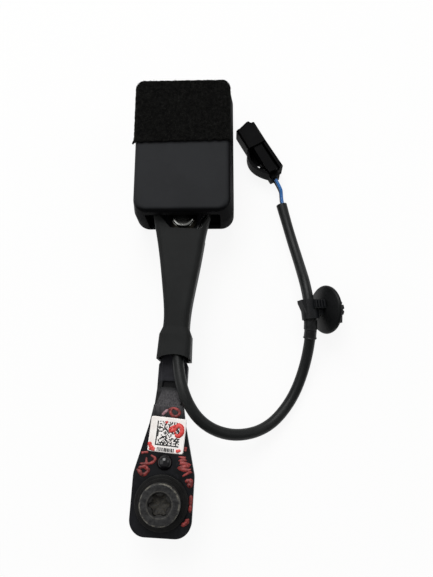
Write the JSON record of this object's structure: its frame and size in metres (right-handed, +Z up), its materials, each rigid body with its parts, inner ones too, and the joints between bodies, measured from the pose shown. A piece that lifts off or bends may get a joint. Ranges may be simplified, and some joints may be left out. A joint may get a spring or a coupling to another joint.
{
  "type": "seat belt buckle",
  "caption": "Seat belt buckle head on a stamped anchor stalk with its shoulder bolt, plastic boot, felt patch and a sleeved two-wire sensor cable with clip and connector.",
  "frame": {"origin": "middle of the free end of the anchor bolt's thread, on the bolt's axis, in the plane the part lies on", "axes": "+Z up along the anchor bolt out of its head and out of the front cover, +Y from the bolt to the buckle head, +X to the side where the sensor cable lies"},
  "size_m": [0.0954, 0.201, 0.028],
  "materials": {
    "coated_steel": "black electrocoat, satin",
    "zinc_nickel": "black zinc-nickel, worn on the edges",
    "black_washer": "black coated steel",
    "ring_nylon": "natural nylon",
    "gloss_black": "glossy black",
    "paper_label": "white film sticker",
    "sleeve_plastic": "satin black polypropylene",
    "cover_plastic": "fine grained ABS",
    "felt": "black needle felt",
    "frame_steel": "zinc plated pressing",
    "rivet_steel": "bright steel",
    "guide_plastic": "black acetal",
    "button_red": "red plastic, satin",
    "spring_steel": "spring wire",
    "magnet": "nickel plated magnet",
    "board": "green solder mask",
    "sensor": "black moulded package",
    "lead_jacket": "black PVC insulation",
    "tube_pvc": "satin black PVC sleeving",
    "tape": "black harness tape",
    "clip_nylon": "black nylon",
    "seal_rubber": "black rubber",
    "wire_blue": "blue insulation",
    "wire_black": "black insulation",
    "plug_plastic": "black PBT",
    "retainer_plastic": "black PBT",
    "terminal_tin": "tinned brass"
  },
  "bodies": {
    "stalk": {"anchor_stalk": "coated_steel", "locating_stud": "gloss_black", "label": "paper_label", "stalk_sleeve": "sleeve_plastic", "cable_tube": "tube_pvc", "tape_wrap": "tape", "cable_clip": "clip_nylon", "seal_disc": "seal_rubber", "signal_wire": "wire_blue", "return_wire": "wire_black", "connector_housing": "plug_plastic", "terminal_retainer": "retainer_plastic", "terminals": "terminal_tin", "wire_seals": "seal_rubber"},
    "bolt": {"anchor_bolt": "zinc_nickel", "flat_washer": "black_washer", "wave_washer": "black_washer", "retaining_ring": "ring_nylon"},
    "head": {"front_cover": "cover_plastic", "rear_cover": "cover_plastic", "felt_pad": "felt", "buckle_frame": "frame_steel", "pivot_rivet": "rivet_steel", "pivot_washer": "rivet_steel", "tongue_guide": "guide_plastic", "button_springs": "spring_steel", "ejector_spring": "spring_steel", "switch_housing": "guide_plastic", "switch_board": "board", "hall_sensor": "sensor", "switch_leads": "lead_jacket"},
    "button": {"release_button": "button_red"},
    "lock": {"lock_bar": "rivet_steel"},
    "slide": {"ejector": "guide_plastic", "sensor_magnet": "magnet"},
    "pawl": {"latch": "frame_steel"},
    "lever": {"connector_lever": "plug_plastic"}
  },
  "joints": [
    {"name": "bolt_spin", "type": "hinge", "parent": "stalk", "child": "bolt", "pos_m": [0, 0, 0], "axis": [0, 0, 1], "continuous": true},
    {"name": "head_swing", "type": "hinge", "parent": "stalk", "child": "head", "pos_m": [0.00659, 0.12172, 0.0125], "axis": [0, 0, 1], "range_deg": [-1, 6]},
    {"name": "button_press", "type": "slide", "parent": "head", "child": "button", "axis": [0, -1, 0], "range_m": [0, 0.006], "stiffness_N_per_m": 1200, "springref_m": -0.004, "deforming": ["button_springs"]},
    {"name": "bar_draw", "type": "slide", "parent": "head", "child": "lock", "axis": [0, -1, 0], "range_m": [0, 0.006]},
    {"name": "ejector_slide", "type": "slide", "parent": "head", "child": "slide", "axis": [0, -1, 0], "range_m": [0, 0.01], "stiffness_N_per_m": 500, "springref_m": -0.004, "deforming": ["ejector_spring"]},
    {"name": "latch_swing", "type": "hinge", "parent": "head", "child": "pawl", "pos_m": [0.00659, 0.14102, 0.0176], "axis": [-1, 0, 0], "range_deg": [0, 11.3]},
    {"name": "lever_flex", "type": "hinge", "parent": "stalk", "child": "lever", "pos_m": [0.04124, 0.163, 0.0078], "axis": [0.8788, 0.4772, 0], "range_deg": [0, 3], "stiffness_Nm_per_rad": 0.08, "springref_deg": -114.59}
  ],
  "couplings": [
    {"joint": "bar_draw", "follows": "button_press", "ratio": 1},
    {"joint": "latch_swing", "follows": "ejector_slide", "rad_per_m": 19.7}
  ]
}
